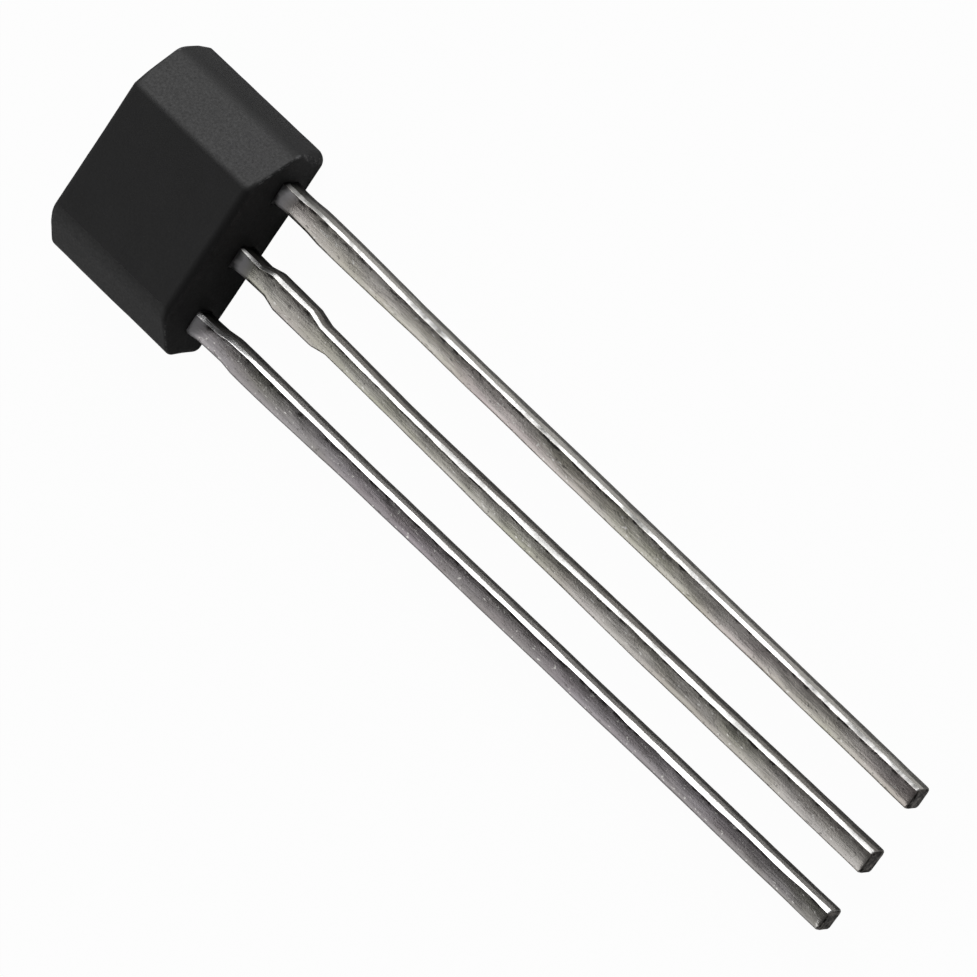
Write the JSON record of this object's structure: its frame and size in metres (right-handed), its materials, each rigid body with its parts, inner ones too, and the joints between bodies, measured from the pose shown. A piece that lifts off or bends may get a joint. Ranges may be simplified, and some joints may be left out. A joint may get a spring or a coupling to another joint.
{
  "type": "hall effect sensor",
  "caption": "Flat black moulded hall effect sensor with chamfered flanks and straight tinned leads in one row, for soldering through a board.",
  "frame": {"origin": "centre of the moulded body's back face, which is also the face that it lies on", "axes": "+Z out of the front (sensing) face, +Y away from the leads, which run along -Y, and +X to the right when the front is seen with the leads down"},
  "size_m": [0.004, 0.0174, 0.0016],
  "materials": {
    "mold_compound": "matt black epoxy moulding compound, lightly pitted by the mould",
    "tinned_lead": "dull tin plating over copper alloy, streaked and mottled along the lead, with worn bright edges",
    "die_adhesive": "silver-filled epoxy",
    "silicon": "polished silicon",
    "gold_wire": "drawn gold"
  },
  "bodies": {
    "root": {"mold_body": "mold_compound", "supply_lead": "tinned_lead", "ground_lead": "tinned_lead", "output_lead": "tinned_lead", "die_attach": "die_adhesive", "hall_die": "silicon", "supply_wire": "gold_wire", "ground_wire": "gold_wire", "output_wire": "gold_wire"}
  },
  "joints": []
}
